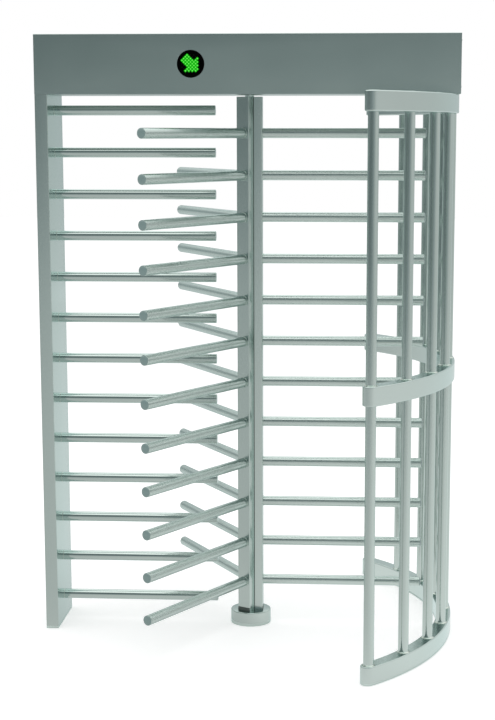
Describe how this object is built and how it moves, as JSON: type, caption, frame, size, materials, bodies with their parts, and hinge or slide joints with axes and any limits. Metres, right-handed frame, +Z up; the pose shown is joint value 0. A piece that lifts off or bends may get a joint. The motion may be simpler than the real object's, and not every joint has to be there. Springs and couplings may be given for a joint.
{
  "type": "full height turnstile",
  "caption": "Full height turnstile: a three-wing rotor of tube arms between a comb on a flat post and a curved cage of tubes, under a long steel head with a light indicator.",
  "frame": {"origin": "on the rotor's axis at floor level, in the middle of the pivot stand's underside", "axes": "+Z up, +X from the rotor towards the cage, +Y away from the person who walks in from the front"},
  "size_m": [1.595, 1.4942, 2.301],
  "materials": {
    "satin_steel": "satin stainless with a faint green tint",
    "head_steel": "satin stainless sheet",
    "zinc_plate": "zinc plated sheet",
    "machined_steel": "turned and milled steel",
    "black_oxide": "black oxide",
    "black_plastic": "moulded black plastic",
    "display_pane": "dark pane over green lights",
    "grey_enamel": "grey enamel",
    "brass": "turned bronze"
  },
  "bodies": {
    "frame": {"post_box": "satin_steel", "post_base_plate": "zinc_plate", "comb_tube_01": "satin_steel", "comb_tube_02": "satin_steel", "comb_tube_03": "satin_steel", "comb_tube_04": "satin_steel", "comb_tube_05": "satin_steel", "comb_tube_06": "satin_steel", "comb_tube_07": "satin_steel", "comb_tube_08": "satin_steel", "comb_tube_09": "satin_steel", "comb_tube_10": "satin_steel", "comb_tube_11": "satin_steel", "comb_tube_12": "satin_steel", "comb_tube_13": "satin_steel", "cage_tube_1": "satin_steel", "cage_tube_2": "satin_steel", "cage_tube_3": "satin_steel", "cage_tube_4": "satin_steel", "cage_tube_5": "satin_steel", "cage_tube_6": "satin_steel", "cage_tube_7": "satin_steel", "cage_tube_8": "satin_steel", "cage_tube_9": "satin_steel", "cage_band_bottom": "satin_steel", "cage_band_middle": "satin_steel", "cage_band_top": "satin_steel", "head_tray": "zinc_plate", "head_cover": "head_steel", "indicator_front_housing": "black_plastic", "indicator_front_display": "display_pane", "indicator_rear_housing": "black_plastic", "indicator_rear_display": "display_pane", "base_cup": "satin_steel", "pivot_stand": "machined_steel", "thrust_bearing": "brass", "mechanism_plate": "zinc_plate", "upper_bearing": "black_oxide", "pawl_pin_left": "machined_steel", "pawl_pin_right": "machined_steel", "solenoid_left": "zinc_plate", "solenoid_right": "zinc_plate", "damper_body": "black_oxide", "position_sensor": "black_plastic", "control_box": "grey_enamel", "power_supply": "zinc_plate"},
    "rotor": {"rotor_wing_right": "satin_steel", "rotor_wing_rear": "satin_steel", "rotor_wing_front": "satin_steel", "core_tube": "satin_steel", "pivot_socket": "machined_steel", "drive_shaft": "machined_steel", "index_wheel": "machined_steel", "damper_gear": "machined_steel"},
    "lock_pawl_left": {"lock_pawl_left": "black_oxide"},
    "lock_pawl_right": {"lock_pawl_right": "black_oxide"},
    "plunger_left": {"plunger_left": "machined_steel"},
    "plunger_right": {"plunger_right": "machined_steel"},
    "damper_pinion": {"damper_pinion": "machined_steel"}
  },
  "joints": [
    {"name": "rotor_turn", "type": "hinge", "parent": "frame", "child": "rotor", "pos_m": [0, 0, 1], "axis": [0, 0, 1], "continuous": true},
    {"name": "pawl_right_swing", "type": "hinge", "parent": "frame", "child": "lock_pawl_right", "pos_m": [0.127, -0.095, 2.1266], "axis": [0, 0, 1], "range_deg": [0, 7.5], "stiffness_Nm_per_rad": 0.8},
    {"name": "pawl_left_swing", "type": "hinge", "parent": "frame", "child": "lock_pawl_left", "pos_m": [-0.127, -0.095, 2.1266], "axis": [0, 0, -1], "range_deg": [0, 7.5], "stiffness_Nm_per_rad": 0.8},
    {"name": "plunger_right_travel", "type": "slide", "parent": "frame", "child": "plunger_right", "axis": [-1, 0, 0], "range_m": [0, 0.018]},
    {"name": "plunger_left_travel", "type": "slide", "parent": "frame", "child": "plunger_left", "axis": [1, 0, 0], "range_m": [0, 0.018]},
    {"name": "damper_spin", "type": "hinge", "parent": "frame", "child": "damper_pinion", "pos_m": [0.05625, -0.09743, 2.1403], "axis": [0, 0, 1], "continuous": true}
  ],
  "couplings": [
    {"joint": "plunger_right_travel", "follows": "pawl_right_swing", "m_per_rad": 0.135},
    {"joint": "plunger_left_travel", "follows": "pawl_left_swing", "m_per_rad": 0.135},
    {"joint": "damper_spin", "follows": "rotor_turn", "ratio": -4}
  ]
}
